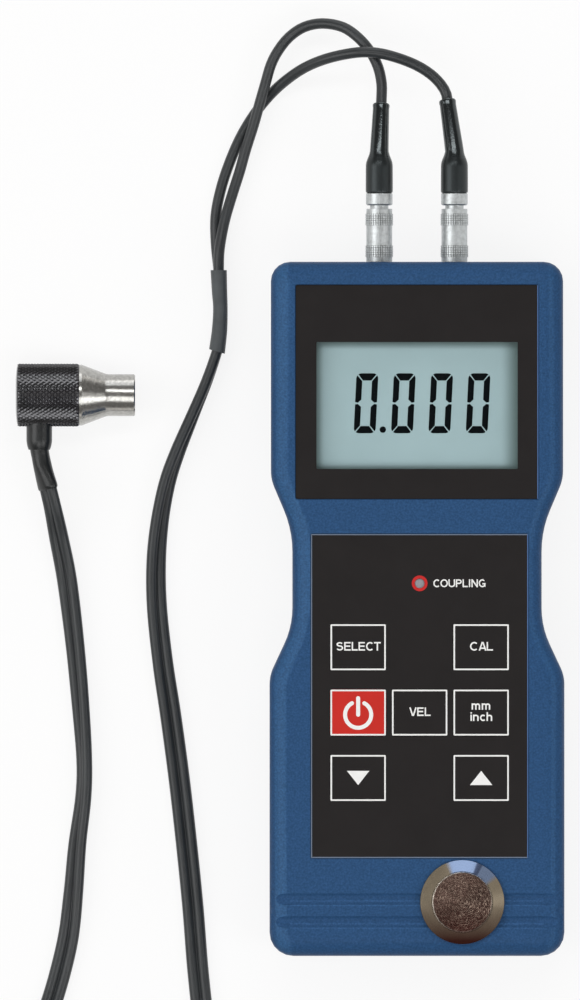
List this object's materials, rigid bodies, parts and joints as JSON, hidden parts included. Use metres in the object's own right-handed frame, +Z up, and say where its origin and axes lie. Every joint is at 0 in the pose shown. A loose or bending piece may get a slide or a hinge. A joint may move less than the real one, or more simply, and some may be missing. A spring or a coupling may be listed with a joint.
{
  "type": "ultrasonic thickness gauge",
  "caption": "Hand-held ultrasonic thickness gauge with a waisted housing, display, keypad and test block, and a dual-element probe on a lead with push-pull plugs.",
  "frame": {"origin": "middle of the gauge's back face, which lies on the table", "axes": "+X to the right across the face, +Y along the gauge towards its sockets, +Z up out of the face"},
  "size_m": [0.1316, 0.2992, 0.032],
  "materials": {
    "housing": "fine-grained moulded plastic",
    "panel": "printed satin film",
    "key": "printed satin film",
    "power_key": "printed satin film",
    "window": "clear",
    "lcd": "reflective display",
    "light": "diffused lens",
    "inner_plastic": "moulded",
    "strip_rubber": "soft",
    "board": "solder mask",
    "steel": "plated",
    "turned_steel": "turned bright",
    "plug_metal": "satin plate",
    "cell": "sleeved can",
    "boot_rubber": "matt",
    "cord": "smooth jacket",
    "tie": "woven strap",
    "cap": "black anodised, knurled",
    "delay": "ground flat",
    "barrier": "cork"
  },
  "bodies": {
    "gauge": {"front_housing": "housing", "rear_housing": "housing", "housing_screws": "steel", "display_panel": "panel", "display_window": "window", "lcd_module": "lcd", "lcd_holder": "inner_plastic", "lcd_contact_strips": "strip_rubber", "keypad_panel": "panel", "key_switches": "inner_plastic", "coupling_light": "light", "main_board": "board", "board_screws": "steel", "test_block": "turned_steel", "battery_contacts": "steel", "battery_springs": "steel", "socket_nuts": "plug_metal", "battery_1": "cell", "battery_2": "cell", "battery_3": "cell", "battery_4": "cell", "left_socket": "plug_metal", "right_socket": "plug_metal"},
    "battery_cover": {"battery_cover": "housing"},
    "lead": {"left_plug_body": "plug_metal", "left_collet_nut": "plug_metal", "left_boot": "boot_rubber", "left_cord": "cord", "right_plug_body": "plug_metal", "right_collet_nut": "plug_metal", "right_boot": "boot_rubber", "right_cord": "cord", "split_sleeve": "boot_rubber", "twin_cord_a": "cord", "cord_coil": "cord", "coil_tie": "tie", "twin_cord_b": "cord", "probe_cap": "cap", "probe_body": "turned_steel", "probe_delay_blocks": "delay", "probe_barrier": "barrier", "probe_ferrule": "cap", "probe_relief": "boot_rubber"},
    "key_mode": {"key_mode": "key"},
    "key_zero": {"key_zero": "key"},
    "key_power": {"key_power": "power_key"},
    "key_speed": {"key_speed": "key"},
    "key_unit": {"key_unit": "key"},
    "key_down": {"key_down": "key"},
    "key_up": {"key_up": "key"},
    "left_latch_sleeve": {"left_latch_sleeve": "plug_metal"},
    "right_latch_sleeve": {"right_latch_sleeve": "plug_metal"}
  },
  "joints": [
    {"name": "key_mode_press", "type": "slide", "parent": "gauge", "child": "key_mode", "axis": [0, 0, -1], "range_m": [0, 0.0004], "stiffness_N_per_m": 1000, "springref_m": -0.0003},
    {"name": "key_zero_press", "type": "slide", "parent": "gauge", "child": "key_zero", "axis": [0, 0, -1], "range_m": [0, 0.0004], "stiffness_N_per_m": 1000, "springref_m": -0.0003},
    {"name": "key_power_press", "type": "slide", "parent": "gauge", "child": "key_power", "axis": [0, 0, -1], "range_m": [0, 0.0004], "stiffness_N_per_m": 1000, "springref_m": -0.0003},
    {"name": "key_speed_press", "type": "slide", "parent": "gauge", "child": "key_speed", "axis": [0, 0, -1], "range_m": [0, 0.0004], "stiffness_N_per_m": 1000, "springref_m": -0.0003},
    {"name": "key_unit_press", "type": "slide", "parent": "gauge", "child": "key_unit", "axis": [0, 0, -1], "range_m": [0, 0.0004], "stiffness_N_per_m": 1000, "springref_m": -0.0003},
    {"name": "key_down_press", "type": "slide", "parent": "gauge", "child": "key_down", "axis": [0, 0, -1], "range_m": [0, 0.0004], "stiffness_N_per_m": 1000, "springref_m": -0.0003},
    {"name": "key_up_press", "type": "slide", "parent": "gauge", "child": "key_up", "axis": [0, 0, -1], "range_m": [0, 0.0004], "stiffness_N_per_m": 1000, "springref_m": -0.0003},
    {"name": "battery_cover_slide", "type": "slide", "parent": "gauge", "child": "battery_cover", "axis": [0, -1, 0], "range_m": [0, 0.062]},
    {"name": "lead_unplug", "type": "slide", "parent": "gauge", "child": "lead", "axis": [0, 1, 0], "range_m": [0, 0.012]},
    {"name": "left_sleeve_unlatch", "type": "slide", "parent": "lead", "child": "left_latch_sleeve", "axis": [0, 1, 0], "range_m": [0, 0.0007], "stiffness_N_per_m": 1000, "springref_m": -0.0003},
    {"name": "right_sleeve_unlatch", "type": "slide", "parent": "lead", "child": "right_latch_sleeve", "axis": [0, 1, 0], "range_m": [0, 0.0007], "stiffness_N_per_m": 1000, "springref_m": -0.0003}
  ]
}
